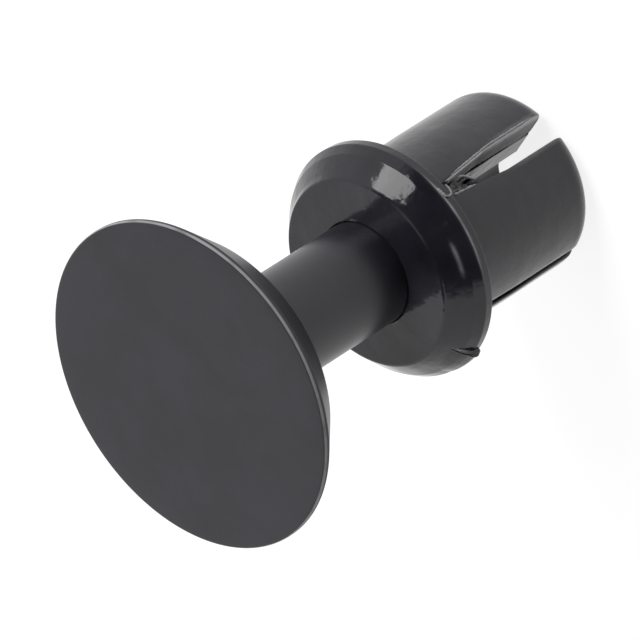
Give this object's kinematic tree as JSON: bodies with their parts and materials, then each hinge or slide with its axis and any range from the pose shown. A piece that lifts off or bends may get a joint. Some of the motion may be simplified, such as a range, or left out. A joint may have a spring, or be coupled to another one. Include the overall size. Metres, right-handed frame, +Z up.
{
  "type": "plastic push rivet",
  "caption": "Split sleeve with a conical collar and a wide-headed pin that is pushed down its bore to spread the legs behind a panel.",
  "frame": {"origin": "centre of the circle that the tips of the sleeve's legs stand on", "axes": "+Z up the rivet's axis, from the tips of the legs to the face of the pin's head; the legs are parted by wide slots towards +Y and -Y and narrow ones towards +X and -X, and the collar's flash lies towards -X"},
  "size_m": [0.012, 0.012, 0.0173],
  "materials": {
    "sleeve_nylon": "moulded black nylon, glossy on the collar and satin on the barrel",
    "pin_nylon": "moulded black nylon, finely textured and matte on the head"
  },
  "bodies": {
    "sleeve": {"sleeve": "sleeve_nylon"},
    "pin": {"pin": "pin_nylon"}
  },
  "joints": [
    {"name": "pin_push", "type": "slide", "parent": "sleeve", "child": "pin", "axis": [0, 0, -1], "range_m": [0, 0.0074], "deforming": ["sleeve"]}
  ]
}
